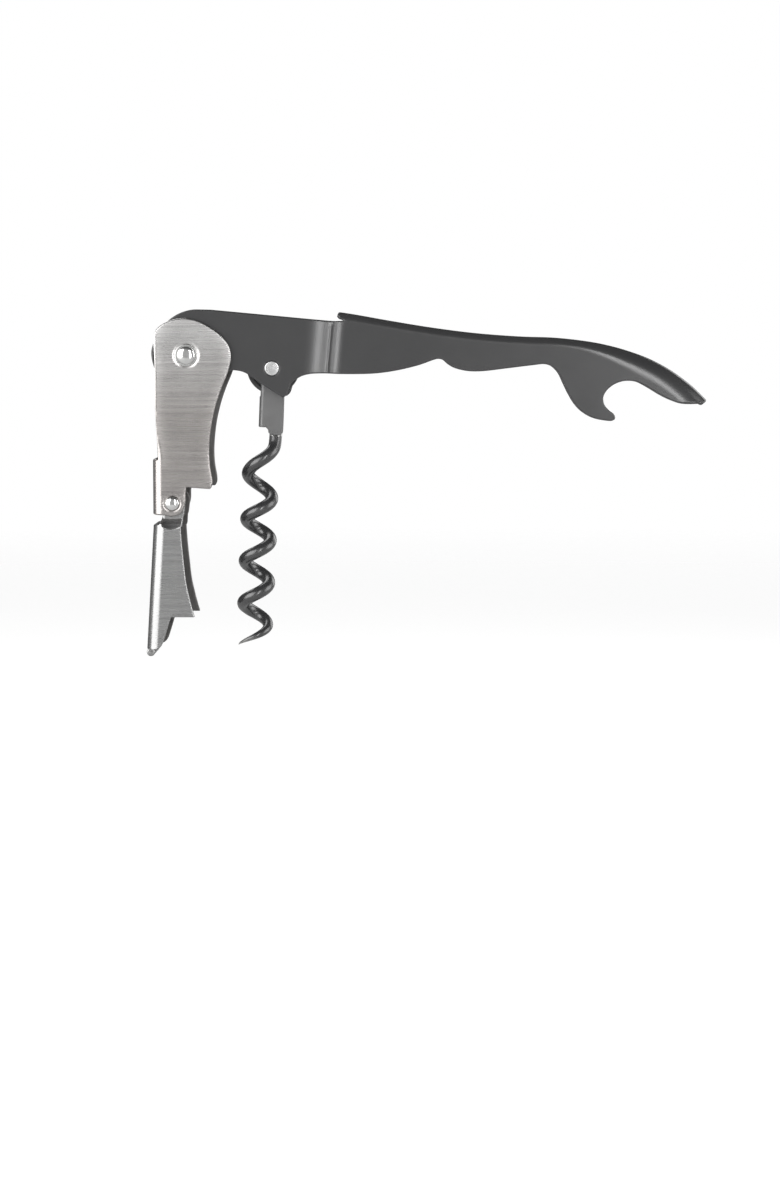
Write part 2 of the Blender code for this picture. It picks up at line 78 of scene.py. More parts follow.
def place(x, z, tilt=0.0, parent=Matrix.Identity(4)):
    """A local frame at a pivot, in metres, that is turned about Y."""
    return parent @ Matrix.Translation((x * MM, 0, z * MM)) @ Matrix.Rotation(tilt, 4, "Y")


LEVER_FRAME = place(*MAIN_PIVOT)
HANDLE_FRAME = place(*MAIN_PIVOT, HANDLE_TILT)
BOOT_FRAME = place(*BOOT_PIVOT, 0.0, LEVER_FRAME)
PIN_FRAME = place(*WORM_PIVOT, 0.0, HANDLE_FRAME)
WORM_FRAME = place(*WORM_PIVOT, WORM_TILT - HANDLE_TILT, HANDLE_FRAME)


# ---------------- curves

CORNER_STEPS = 4
SHARP_TURN = radians(35)


def smooth(knots, step=0.5):
    """Points of a Catmull-Rom curve through the knots, about a step apart, both ends included."""
    ends = [2 * Vector(knots[0]) - Vector(knots[1]), 2 * Vector(knots[-1]) - Vector(knots[-2])]
    path = [ends[0]] + [Vector(knot) for knot in knots] + [ends[1]]
    points = []
    for a, b, c, d in zip(path, path[1:], path[2:], path[3:]):
        spans = max(2, round((c - b).length / step))
        for index in range(spans):
            t = index / spans
            points.append(0.5 * (2 * b + (c - a) * t + (2 * a - 5 * b + 4 * c - d) * t ** 2
                                 + (3 * b - a - 3 * c + d) * t ** 3))
    return points + [Vector(knots[-1])]


def arc(centre, radius, start, end, steps):
    angles = [radians(start + (end - start) * step / steps) for step in range(steps + 1)]
    return [Vector((centre[0] + radius * cos(a), centre[1] + radius * sin(a))) for a in angles]


def line(start, end, step=0.6):
    """Evenly spaced points of a straight line, the last one left out."""
    start, end = Vector(start), Vector(end)
    count = max(1, round((end - start).length / step))
    return [start.lerp(end, index / count) for index in range(count)]


def straight(start, end, step=1.0):
    """Evenly spaced points of a straight line, both ends included."""
    return line(start, end, step) + [Vector(end)]


def dense(points, step=0.5):
    """The same open line, with no stretch much longer than a step."""
    made = []
    for a, b in zip(points, points[1:]):
        made += line(a, b, step)
    return made + [points[-1]]


def clamp(value, high=1.0):
    return min(max(value, 0.0), high)


def ease(t):
    t = clamp(t)
    return t * t * (3 - 2 * t)


def bent(t, bend=0.12):
    """Straight from 0 to 1, with a short bend at each end."""
    t = clamp(t)
    rate = 1 / (1 - bend)
    if t < bend:
        return rate * t * t / (2 * bend)
    if t > 1 - bend:
        return 1 - rate * (1 - t) ** 2 / (2 * bend)
    return rate * (t - bend / 2)


def corner_curve(a, corner, b, radius, share):
    """A short curve for a corner. a and b lead to its neighbours, and it takes up to a share of each."""
    reach = min(radius, share * a.length, share * b.length)
    start, end = corner + a.normalized() * reach, corner + b.normalized() * reach
    places = [step / CORNER_STEPS for step in range(CORNER_STEPS + 1)]
    return [start * (1 - t) ** 2 + corner * 2 * t * (1 - t) + end * t ** 2 for t in places]


def rounded(points, radius):
    """Replaces each sharp corner of an open line of points with a short curve."""
    made = [points[0]]
    for before, corner, after in zip(points, points[1:], points[2:]):
        a, b = (before - corner), (after - corner)
        turn = pi - a.angle(b) if a.length > 1e-6 and b.length > 1e-6 else 0.0
        made += [corner] if turn < SHARP_TURN else corner_curve(a, corner, b, radius, 0.48)
    return made + [points[-1]]


def nearest_edge(a, b, point):
    """Of the edges from a to b, the nearest to a point: its index, the place on it (0 to 1), and the gap."""
    p = np.array(tuple(point))
    edge = b - a
    along = np.clip(((p - a) * edge).sum(1) / np.maximum((edge ** 2).sum(1), 1e-12), 0, 1)
    gaps = np.hypot(*(a + edge * along[:, None] - p).T)
    index = int(gaps.argmin())
    return index, along[index], float(gaps[index])


def as_array(points):
    return np.array([tuple(point) for point in points])


def both_halves(half):
    """A whole closed outline, from the half of it that is on one side of y = 0."""
    return np.vstack([half, half[::-1] * (1, -1)])


# ---------------- solids from a flat blank

def inward_offsets(outline, closed):
    """The direction and the reach of each point of an outline when it moves inwards by one unit."""
    count = len(outline)
    area = sum(outline[i].x * outline[(i + 1) % count].y - outline[(i + 1) % count].x * outline[i].y
               for i in range(count))
    side = 1 if area > 0 else -1
    moves = []
    for index, point in enumerate(outline):
        before = outline[index - 1]
        after = outline[(index + 1) % count]
        if not closed and index == 0:
            before = Vector((point.x, -after.y))
        if not closed and index == count - 1:
            after = Vector((point.x, -before.y))
        normals = []
        for a, b in ((before, point), (point, after)):
            edge = b - a
            if edge.length > 1e-9:
                normals.append(Vector((-edge.y, edge.x)).normalized() * side)
        total = normals[0] + normals[-1]
        moves.append(total / max(1 + normals[0].dot(normals[-1]), 0.35))
    return moves


def inside(points, polygon):
    """Which of the points lie inside the polygon."""
    x, y = points[:, 0][:, None], points[:, 1][:, None]
    a, b = polygon, np.roll(polygon, -1, axis=0)
    crosses = (a[:, 1] > y) != (b[:, 1] > y)
    with np.errstate(divide="ignore", invalid="ignore"):
        at = a[:, 0] + (y - a[:, 1]) * (b[:, 0] - a[:, 0]) / (b[:, 1] - a[:, 1])
    return (crosses & (x < at)).sum(axis=1) % 2 == 1


def clear_of(points, polygon, distance):
    """Which of the points are at least this far from the polygon's edges."""
    a, b = polygon[None, :, :], np.roll(polygon, -1, axis=0)[None, :, :]
    p = points[:, None, :]
    edge = b - a
    along = np.clip(((p - a) * edge).sum(-1) / np.maximum((edge ** 2).sum(-1), 1e-12), 0, 1)
    nearest = a + edge * along[..., None]
    return np.sqrt(((p - nearest) ** 2).sum(-1)).min(axis=1) > distance


EDGE_ANGLES = (0.0, radians(30), radians(60), radians(90))
BORDER_GAP, RING_GAP, HOLE_GAP = 0.22, 0.3, 0.2     # how far the inner points keep from the close rows
PROBE = 0.03                                        # the step for slopes of a surface


def blank_mesh(outline, holes, rings, fill, edge, closed):
    """Triangles over a blank. Its edges have close rows, so that they can be rounded over.

    outline: points round the blank; open if it is half of a mirrored blank, from y = 0 round to y = 0.
    holes: closed outlines. rings: more closed lines that the mesh follows. fill: points inside the blank.
    Returns the points, each with its angle on the rounded edge, the triangles, and the edge loops.
    """
    points, angles, outward, edges, loops = [], [], [], [], []

    def add_loop(loop, angle, is_closed, directions=None):
        start = len(points)
        points.extend(loop)
        angles.extend([angle] * len(loop))
        outward.extend(directions or [None] * len(loop))
        count = len(loop)
        edges.extend((start + i, start + i + 1) for i in range(count - 1))
        if is_closed:
            edges.append((start + count - 1, start))
        return list(range(start, start + count))

    for contour, is_closed, sign in [(outline, closed, 1)] + [(hole, True, -1) for hole in holes]:
        moves = inward_offsets(contour, is_closed)
        for angle in EDGE_ANGLES:
            reach = sign * edge * (1 - cos(angle))
            loop = [point + move * reach for point, move in zip(contour, moves)]
            made = add_loop(loop, angle, is_closed, [move * -sign for move in moves])
            if angle == 0:
                loops.append((made, is_closed))
        if contour is outline:
            innermost = loop
    for ring in rings:
        add_loop(ring, EDGE_ANGLES[-1], True)

    border = as_array(innermost) if closed else both_halves(as_array(innermost))
    grid = as_array(fill)
    keep = inside(grid, border) & clear_of(grid, border, BORDER_GAP)
    for ring in holes + rings:
        keep &= clear_of(grid, as_array(ring), RING_GAP)
    for hole in map(as_array, holes):
        keep &= ~inside(grid, hole) & clear_of(grid, hole, edge + HOLE_GAP)
    middle = len(points)
    points.extend(Vector(point) for point in grid[keep])
    angles.extend([EDGE_ANGLES[-1]] * int(keep.sum()))
    if not closed:
        spots = [index for index in range(middle, len(points)) if points[index].y < 1e-6]
        ends = [index for index in range(middle) if abs(points[index].y) < 1e-6]
        row = sorted(spots + ends, key=lambda index: points[index].x)
        edges.extend(zip(row, row[1:]))

    made = delaunay_2d_cdt(points, edges, [], 0, 1e-5, True)
    verts, faces, originals = made[0], made[2], made[3]
    flat = as_array(verts)
    where = {}
    for index, source in enumerate(originals):
        for item in source:
            where[item] = index
    angle_of = [EDGE_ANGLES[-1]] * len(verts)
    outward_of = [None] * len(verts)
    for item, index in where.items():
        if angles[item] < angle_of[index]:
            angle_of[index], outward_of[index] = angles[item], outward[item]
    centres = np.array([flat[list(face)].mean(axis=0) for face in faces])
    if closed:
        keep = inside(centres, as_array(outline))
    else:
        keep = inside(centres, both_halves(as_array(outline))) & (centres[:, 1] > 0)
    for hole in holes:
        keep &= ~inside(centres, as_array(hole))
    corners = flat[np.array(faces)]
    spread = np.cross(corners[:, 1] - corners[:, 0], corners[:, 2] - corners[:, 0])
    keep &= np.abs(spread) > 1e-6
    faces = [face for face, kept in zip(faces, keep) if kept]
    loops = [([where[item] for item in loop], is_closed) for loop, is_closed in loops]
    return [Vector(vert) for vert in verts], angle_of, outward_of, faces, loops


def nearest_on(polygon, point):
    """The nearest point on a closed polygon, and how far away it is."""
    ends = np.roll(polygon, -1, axis=0)
    index, along, gap = nearest_edge(polygon, ends, point)
    return Vector(polygon[index] + (ends[index] - polygon[index]) * along), gap


def lean(surface, point, direction, normal):
    """A direction on the blank, as a unit vector along the surface."""
    step = direction.normalized() * PROBE
    along = surface(point + step)[0] - surface(point - step)[0]
    return (along - normal * along.dot(normal)).normalized()


def solid(name, mesh, top, bottom, edge, pivot, material, mirrored, lining=None, roll=None,
          own_normals=True):
    """A closed solid between two surfaces over a blank, with rounded edges.

    top and bottom give a point and its outward normal, in mm, for a point of the blank.
    roll: the blank's outline with how wide and how deep the top surface rolls off towards it.
    own_normals: shade with the surfaces' own normals, and not with the mesh's.
    """
    verts, angles, outward, faces, loops = mesh
    bm = bmesh.new()
    used = sorted({index for face in faces for index in face})
    sides = (1, -1) if mirrored else (1,)
    made = {}
    normals = []
    for index in used:
        point, angle = verts[index], angles[index]
        sink = edge * (1 - sin(angle))
        for layer, surface in enumerate((top, bottom)):
            spot, normal = surface(point)
            spot = spot - normal * sink
            shade = normal
            if roll and layer == 0 and point.y > Channel.WEB + Channel.FOLD:
                border, width, depth = roll
                nearest, gap = nearest_on(border, point)
                if 1e-4 < gap < width:
                    part = 1 - gap / width
                    spot = spot - normal * depth * part ** 2
                    out = lean(surface, point, nearest - point, normal)
                    shade = (normal + out * 2 * depth / width * part).normalized()
            if outward[index] is not None:
                out = lean(surface, point, outward[index], normal)
                shade = (shade * sin(angle) + out * cos(angle)).normalized()
            for side in sides:
                if side < 0 and abs(point.y) < 1e-6:
                    made[index, layer, side] = made[index, layer, 1]
                    continue
                made[index, layer, side] = bm.verts.new((spot.x * MM, spot.y * side * MM, spot.z * MM))
                normals.append(Vector((shade.x, shade.y * side, shade.z)))
    for face in faces:
        for side in sides:
            for layer in (0, 1):
                made_face = bm.faces.new([made[index, layer, side] for index in face])
                made_face.material_index = layer if lining else 0
    for loop, is_closed in loops:
        pairs = list(zip(loop, loop[1:])) + ([(loop[-1], loop[0])] if is_closed else [])
        for a, b in pairs:
            for side in sides:
                corners = [made[a, 0, side], made[b, 0, side], made[b, 1, side], made[a, 1, side]]
                if len(set(corners)) > 2:
                    bm.faces.new(corners)
    bmesh.ops.recalc_face_normals(bm, faces=bm.faces)
    piece = add_piece(name, bm, pivot, material, normals=normals if own_normals else None)
    if lining:
        piece.data.materials.append(lining)
    return piece


def add_object(name, data):
    made = bpy.data.objects.new(name, data)
    bpy.context.scene.collection.objects.link(made)
    return made


def add_piece(name, bm, pivot, material, sharp=50, normals=None):
    """A piece with its pivot as its origin. Its mesh is turned, so that its box is square to the world."""
    mesh = bpy.data.meshes.new(name)
    bm.to_mesh(mesh)
    bm.free()
    turn = pivot.to_3x3()
    mesh.transform(turn.to_4x4())
    mesh.shade_smooth()
    if normals:
        mesh.normals_split_custom_set_from_vertices([turn @ normal for normal in normals])
    else:
        mesh.set_sharp_from_angle(angle=radians(sharp))
    mesh.materials.append(material)
    piece = add_object(name, mesh)
    piece.location = pivot.to_translation()
    return piece


# ---------------- pressed sheet

HOLE_POINTS, RING_POINTS = 40, 48


class Channel:
    """Pressed sheet: a web along a spine line and two cheeks.

    The blank's x runs along the spine and its y across it. Everything is made for y above 0, and mirrored.
    """

    WEB, FOLD = 6.0, 3.0                        # the web's half and the fold on the blank
    WEB_ROWS, FOLD_ROWS, FIRST_ROW = 6, 8, 0.35
    SEAT_FLAT, SEAT_SLOPE = 0.55, 0.45          # the parts of a pressed seat's radius

    def __init__(self, points, inward, fold, half, thick, seats=(), across=None):
        """points: the spine. inward: 1 or -1, the side of it that the cheeks are on.

        fold(s): how deep the bend is along the cheek. across(s): how far it reaches over the web, if not as
        far. half(s, x, z): half of the width over the cheeks. seats: (centre, radius, depth) of each seat.
        """
        self.points = as_array(points)
        self.fold, self.half, self.thick, self.seats = fold, half, thick, seats
        self.across = across or fold
        edges = np.diff(self.points, axis=0)
        self.lengths = np.concatenate([[0], np.cumsum(np.hypot(*edges.T))])
        unit = edges / np.hypot(*edges.T)[:, None]
        normals = np.stack([-unit[:, 1], unit[:, 0]], axis=1) * inward
        self.normals = np.vstack([normals[:1], normals[:-1] + normals[1:], normals[-1:]])
        self.normals /= np.hypot(*self.normals.T)[:, None]

    def at(self, s):
        """The spine's point and inward normal."""
        lengths = self.lengths
        index = int(clamp(np.searchsorted(lengths, s) - 1, len(lengths) - 2))
        t = (s - lengths[index]) / (lengths[index + 1] - lengths[index])
        point = self.points[index] * (1 - t) + self.points[index + 1] * t
        inner = clamp(t)
        normal = self.normals[index] * (1 - inner) + self.normals[index + 1] * inner
        return point, normal / np.hypot(*normal)

    def develop(self, point):
        """The blank's point for a point on a cheek."""
        index, along, depth = nearest_edge(self.points[:-1], self.points[1:], point)
        s = self.lengths[index] + along * np.hypot(*(self.points[index + 1] - self.points[index]))
        fold = self.fold(s)
        if depth >= fold:
            return Vector((s, self.WEB + self.FOLD + depth - fold))
        return Vector((s, self.WEB + self.FOLD * acos(1 - depth / fold) * 2 / pi))

    def shape(self, s, y):
        """The outer surface, without its seats."""
        point, normal = self.at(s)
        fold, bend = self.fold(s), self.across(s)
        if y <= self.WEB + self.FOLD:
            turn = clamp((y - self.WEB) / self.FOLD) * pi / 2
            depth = fold * (1 - cos(turn))
            spot = point + normal * depth
            half = self.half(s, *spot)
            across = half - bend + bend * sin(turn)
            if y <= self.WEB:
                across = y / self.WEB * (half - bend)
        else:
            spot = point + normal * (fold + y - self.WEB - self.FOLD)
            across = self.half(s, *spot)
        return Vector((spot[0], -across, spot[1]))

    def outer(self, p):
        """The outer surface's point and outward normal, without its seats."""
        s, y = p.x, max(p.y, 0.0)
        spot = self.shape(s, y)
        along = self.shape(s + PROBE, y) - self.shape(s - PROBE, y)
        if y < PROBE:
            over = self.shape(s, PROBE) - self.shape(s, 0)
            over.x = over.z = 0
        else:
            over = self.shape(s, y + PROBE) - self.shape(s, y - PROBE)
        normal = along.cross(over).normalized()
        outward = Vector((0, -1, 0))
        if y < self.WEB + self.FOLD / 2:
            inward = self.at(s)[1]
            outward = Vector((-inward[0], 0, -inward[1]))
        if normal.dot(outward) < 0:
            normal = -normal
        return spot, normal

    def top(self, p):
        spot, normal = self.outer(p)
        for centre, radius, depth in self.seats:
            off = Vector((spot.x - centre[0], 0, spot.z - centre[1]))
            away = off.length
            if spot.y < -1 and away < radius:
                part = clamp((away / radius - self.SEAT_FLAT) / self.SEAT_SLOPE)
                rate = -depth * 6 * part * (1 - part) / (self.SEAT_SLOPE * radius)
                spot = spot - normal * depth * (1 - ease(part))
                normal = (normal + off.normalized() * rate).normalized()
        return spot, normal

    def bottom(self, p):
        spot, normal = self.outer(p)
        return spot - normal * self.thick, -normal

    def fill(self, s_lines, cheek_step, depth):
        """Points inside the blank, in rows. depth: how far the rows go down the cheek."""
        rows = [self.WEB * row / self.WEB_ROWS for row in range(self.WEB_ROWS)]
        rows += [self.WEB + self.FOLD * row / self.FOLD_ROWS for row in range(self.FOLD_ROWS + 1)]
        start = self.WEB + self.FOLD + self.FIRST_ROW
        rows += [start + cheek_step * row for row in range(int(depth / cheek_step) + 1)]
        return [(s, y) for s in s_lines for y in rows]

    def outline(self, points, top_s, top_reach, end_s, end_reach, step=1.0):
        """Half of the blank's outline: out along the web's top end, down the cheek, and in along the far end."""
        top = straight((top_s, 0), (top_s, self.WEB + top_reach), step)
        end = straight((end_s, self.WEB + end_reach), (end_s, 0), step)
        return top + [self.develop(point) for point in points] + end

    def ring(self, centre, radius, count):
        """A circle on the cheek, as a closed line of the blank."""
        return [self.develop(point) for point in arc(centre, radius, 0, 360, count)[:-1]]


def lines_along(start, end, step, zones=()):
    """Places along a spine, a step apart, and closer inside the zones (start, end, step)."""
    places = [start + step * index for index in range(int((end - start) / step) + 1)]
    for low, high, fine in zones:
        places = [s for s in places if not low - fine / 2 < s < high + fine / 2]
        places += [low + (high - low) * index / round((high - low) / fine)
                   for index in range(round((high - low) / fine) + 1)]
    return sorted(places)


def channel_piece(name, channel, outline, hole_spots, s_lines, cheek_step, depth, edge, pivot,
                  material, lining=None, roll=None):
    """The finished sheet of a channel.

    hole_spots: (centre, hole radius, radii of further rings that the mesh follows). roll: (width, depth).
    """
    holes = [channel.ring(centre, radius, HOLE_POINTS) for centre, radius, more in hole_spots]
    rings = [channel.ring(centre, each, RING_POINTS) for centre, hole, more in hole_spots for each in more]
    outline = dense(outline)
    mesh = blank_mesh(outline, holes, rings, channel.fill(s_lines, cheek_step, depth), edge, False)
    if roll:
        roll = (both_halves(as_array(outline)),) + roll
    return solid(name, mesh, channel.top, channel.bottom, edge, pivot, material, True, lining,
                 roll)


# ---------------- turned parts

TURNED_SEGMENTS, TURNED_SHARP = 64, 40


def turned(name, profile, pivot, material):
    """A solid turned about Y. The profile is (radius, y), from the axis to the axis, or a closed ring."""
    bm = bmesh.new()
    verts = [bm.verts.new((radius * MM, y * MM, 0)) for radius, y in profile]
    ring = profile[0][0] > 1e-6
    count = len(verts) if ring else len(verts) - 1
    edges = [bm.edges.new((verts[i], verts[(i + 1) % len(verts)])) for i in range(count)]
    bmesh.ops.spin(bm, geom=verts + edges, cent=(0, 0, 0), axis=(0, 1, 0), angle=tau, steps=TURNED_SEGMENTS)
    bmesh.ops.remove_doubles(bm, verts=bm.verts, dist=1e-7)
    bmesh.ops.recalc_face_normals(bm, faces=bm.faces)
    return add_piece(name, bm, pivot, material, TURNED_SHARP)


def round_corners(corners, radius, closed):
    """A profile of (radius, y) corners, with each corner that isn't on the axis rounded over."""
    made = []
    count = len(corners)
    for index, corner in enumerate(corners):
        if not closed and index in (0, count - 1):
            made.append(tuple(corner))
            continue
        here = Vector(corner)
        a, b = Vector(corners[index - 1]) - here, Vector(corners[(index + 1) % count]) - here
        made += [tuple(point) for point in corner_curve(a, here, b, radius, 0.45)]
    return made


def sleeve(name, bore, outer, start, end, pivot, material, side=1, edge=0.15):
    """A ring between two places on the Y axis. side: 1 or -1, which side of the middle plane they are on."""
    low, high = sorted((side * start, side * end))
    corners = [(bore, low), (outer, low), (outer, high), (bore, high)]
    return turned(name, round_corners(corners, edge, True), pivot, material)


def rod(name, radius, half, edge, pivot, material):
    corners = [(0, -half), (radius, -half), (radius, half), (0, half)]
    return turned(name, round_corners(corners, edge, False), pivot, material)


def domed_rivet(name, shank, head, seat, rise, pivot, material):
    """A cross rivet. Each end is a dome, a little fuller than half an ellipse, over a short upright rim."""
    rim, steps = 0.16, 14
    end = [(shank, seat - 0.01), (head - 0.12, seat), (head - 0.03, seat + 0.05), (head, seat + rim)]
    for step in range(1, steps + 1):
        angle = pi / 2 * step / steps
        bulge = seat + rim + (rise - rim) * sin(angle) ** 0.92
        end.append((head * cos(angle) ** 0.95 if step < steps else 0.0, bulge))
    near = [(radius, -y) for radius, y in end]
    return turned(name, near[::-1] + end, pivot, material)


# ---------------- materials

WHITE = (1, 1, 1, 1)


class Nodes:
    """A short way to wire the nodes of a material or a world."""

    def __init__(self, owner):
        owner.use_nodes = True
        self.owner, self.tree = owner, owner.node_tree

    def add(self, kind, inputs=(), **settings):
        node = self.tree.nodes.new(kind)
        for key, value in settings.items():
            setattr(node, key, value)
        for key, value in dict(inputs).items():
            self.set(node.inputs[key], value)
        return node

    def set(self, socket, value):
        if isinstance(value, bpy.types.NodeSocket):
            self.tree.links.new(value, socket)
        else:
            socket.default_value = value

    def noise(self, scale, detail=3.0, stretch=(1, 1, 1), roughness=0.5):
        mapping = self.add("ShaderNodeMapping", {"Scale": stretch})
        self.set(mapping.inputs["Vector"], self.add("ShaderNodeTexCoord").outputs["Object"])
        noise = self.add("ShaderNodeTexNoise", {"Vector": mapping.outputs["Vector"], "Scale": scale,
                                                "Detail": detail, "Roughness": roughness})
        return noise.outputs["Fac"]

    def span(self, value, low, high, to_low, to_high, **settings):
        node = self.add("ShaderNodeMapRange", {"Value": value, "From Min": low, "From Max": high,
                                               "To Min": to_low, "To Max": to_high}, **settings)
        return node.outputs["Result"]

    def cloud(self, scale, detail, low=0.0, high=1.0):
        """Noise that spreads over nearly all of the way from low to high."""
        return self.span(self.noise(scale, detail), 0.3, 0.7, low, high)

    def axis(self, coordinates, letter):
        node = self.add("ShaderNodeSeparateXYZ",
                        {"Vector": self.add("ShaderNodeTexCoord").outputs[coordinates]})
        return node.outputs[letter]

    def math(self, operation, a, b=0.0):
        node = self.add("ShaderNodeMath", operation=operation)
        self.set(node.inputs[0], a)
        self.set(node.inputs[1], b)
        return node.outputs["Value"]

    def mix(self, factor, a, b):
        node = self.add("ShaderNodeMix", data_type="RGBA")
        self.set(node.inputs["Factor"], factor)
        self.set(node.inputs["A"], a)
        self.set(node.inputs["B"], b)
        return node.outputs["Result"]

    def edges(self, low, high):
        """1 on sharp outer edges and 0 elsewhere."""
        pointy = self.add("ShaderNodeNewGeometry").outputs["Pointiness"]
        return self.span(pointy, low, high, 0.0, 1.0)

    def bump(self, height, strength, distance, base=None):
        node = self.add("ShaderNodeBump", {"Height": height, "Strength": strength, "Distance": distance})
        if base is not None:
            self.set(node.inputs["Normal"], base)
        return node.outputs["Normal"]

    def finish(self, **inputs):
        shader = self.tree.nodes["Principled BSDF"]
        for key, value in inputs.items():
            self.set(shader.inputs[key.replace("_", " ")], value)
        return self.owner


def new_material(name):
    return Nodes(bpy.data.materials.new(name))


def grey(level, shade=1.0):
    """A colour from one level of grey, or from three levels, with a shade over it."""
    levels = level if isinstance(level, tuple) else (level,) * 3
    return tuple(shade * value for value in levels) + (1,)


def coated_steel():
    """Satin dark grey coating: fine orange peel, a little lighter and smoother on worn edges."""
    n = new_material("coated_steel")
    worn = n.math("MULTIPLY", n.edges(0.58, 0.75), n.span(n.noise(350, 3), 0.42, 0.62, 0.1, 0.45))
    tone = n.mix(n.cloud(45, 2), (0.036, 0.036, 0.037, 1), (0.041, 0.041, 0.042, 1))
    roughness = n.math("ADD", n.cloud(220, 3, 0.215, 0.235), n.math("MULTIPLY", worn, -0.03))
    peel = n.bump(n.noise(1200, 1), 0.02, 0.00008)
    return n.finish(Base_Color=n.mix(worn, tone, grey(0.16)), Metallic=n.math("MULTIPLY", worn, 0.5),
                    Roughness=roughness, Normal=peel, IOR=1.68)


def brushed(name, tone, grain, roughness, stretch, painted_top_light_tone=None):
    """Stainless sheet brushed along one direction, with a polished rim where the edges were tumbled.

    painted_top_light_tone: a lighter tone that takes over towards the piece's top. It is painted light: the top
    is drawn as if lit more than the rest.
    """
    n = new_material(name)
    depth = 0.00004
    fine = n.noise(grain, 4, stretch, 0.6)
    coarse = n.noise(grain * 0.22, 3, stretch, 0.5)
    light, dark = grey(tone), grey(tone, 0.92)
    if painted_top_light_tone:
        # Painted light: the tone goes lighter from 14 mm below the origin to 5 mm above it.
        painted_top_light = n.span(n.axis("Object", "Z"), -0.014, 0.005, 0.0, 1.0)
        light = n.mix(painted_top_light, light, grey(painted_top_light_tone))
        dark = n.mix(painted_top_light, dark, grey(painted_top_light_tone, 0.94))
    grain_mix = n.math("ADD", n.math("MULTIPLY", fine, 0.6), n.math("MULTIPLY", coarse, 0.4))
    streaks = n.mix(n.span(grain_mix, 0.38, 0.62, 0.0, 1.0), dark, light)
    rough = n.math("ADD", n.span(fine, 0.3, 0.7, roughness - 0.03, roughness + 0.05),
                   n.span(n.noise(120, 3), 0.35, 0.7, 0.0, 0.03))
    rough = n.math("SUBTRACT", rough, n.math("MULTIPLY", n.edges(0.52, 0.60), 0.05))
    normal = n.bump(coarse, 0.03, depth * 3, n.bump(fine, 0.12, depth))
    return n.finish(Base_Color=streaks, Metallic=1.0, Roughness=rough, Normal=normal)


def painted_shade_inner_steel():
    """The unbrushed inner face of the sheet: duller than the outer one, and painted darker as painted shade
    between the cheeks.
    """
    n = new_material("inner_face_painted_shade")
    # Painted shade: the inner face's colour is about a third of the outer face's.
    tone = n.mix(n.cloud(110, 5), (0.12, 0.117, 0.114, 1), (0.165, 0.162, 0.158, 1))
    return n.finish(Base_Color=tone, Metallic=0.9, Roughness=n.cloud(420, 4, 0.40, 0.52),
                    Normal=n.bump(n.noise(1100, 3), 0.12, 0.0001))


def polished_steel(name, tone, roughness):
    n = new_material(name)
    colour = n.mix(n.span(n.noise(500, 4), 0.35, 0.75, 0.0, 1.0), grey(tone), grey(tone, 0.86))
    return n.finish(Base_Color=colour, Metallic=1.0, Roughness=n.cloud(900, 3, roughness, roughness + 0.09),
                    Normal=n.bump(n.noise(350, 2), 0.12, 0.0001))


def wire_coating():
    """Black release coating, bare and bright where the wire leaves the clip and on the point."""
    n = new_material("wire_coating")
    level = n.math("ADD", n.axis("Object", "Z"), n.cloud(700, 3, -0.0003, 0.0003))
    collar = n.math("GREATER_THAN", level, -0.0156)
    tip = n.span(level, -0.0632, -0.0616, 1.0, 0.0)
    bare = n.math("MAXIMUM", collar, n.math("MULTIPLY", tip, 0.8))
    colour = n.mix(bare, (0.030, 0.030, 0.031, 1), (0.46, 0.46, 0.45, 1))
    roughness = n.math("ADD", n.cloud(200, 1, 0.245, 0.265), n.math("MULTIPLY", bare, 0.06))
    return n.finish(Base_Color=colour, Metallic=bare, Roughness=roughness, IOR=1.9)


def grey_plating():
    n = new_material("grey_plating")
    worn = n.math("MULTIPLY", n.edges(0.53, 0.63), 0.7)
    tone = n.mix(n.cloud(160, 4), grey(0.15), grey(0.19))
    return n.finish(Base_Color=n.mix(worn, tone, (0.5, 0.5, 0.49, 1)), Metallic=0.75,
                    Roughness=n.cloud(500, 4, 0.36, 0.47), Normal=n.bump(n.noise(1400, 3), 0.12, 0.0001))


def plastic():
    n = new_material("dark_plastic")
    tone = n.mix(n.cloud(200, 3), (0.035, 0.035, 0.036, 1), grey(0.05))
    return n.finish(Base_Color=tone, Roughness=n.cloud(600, 4, 0.42, 0.55),
                    Normal=n.bump(n.noise(1800, 2), 0.15, 0.0001))


# ---------------- handle

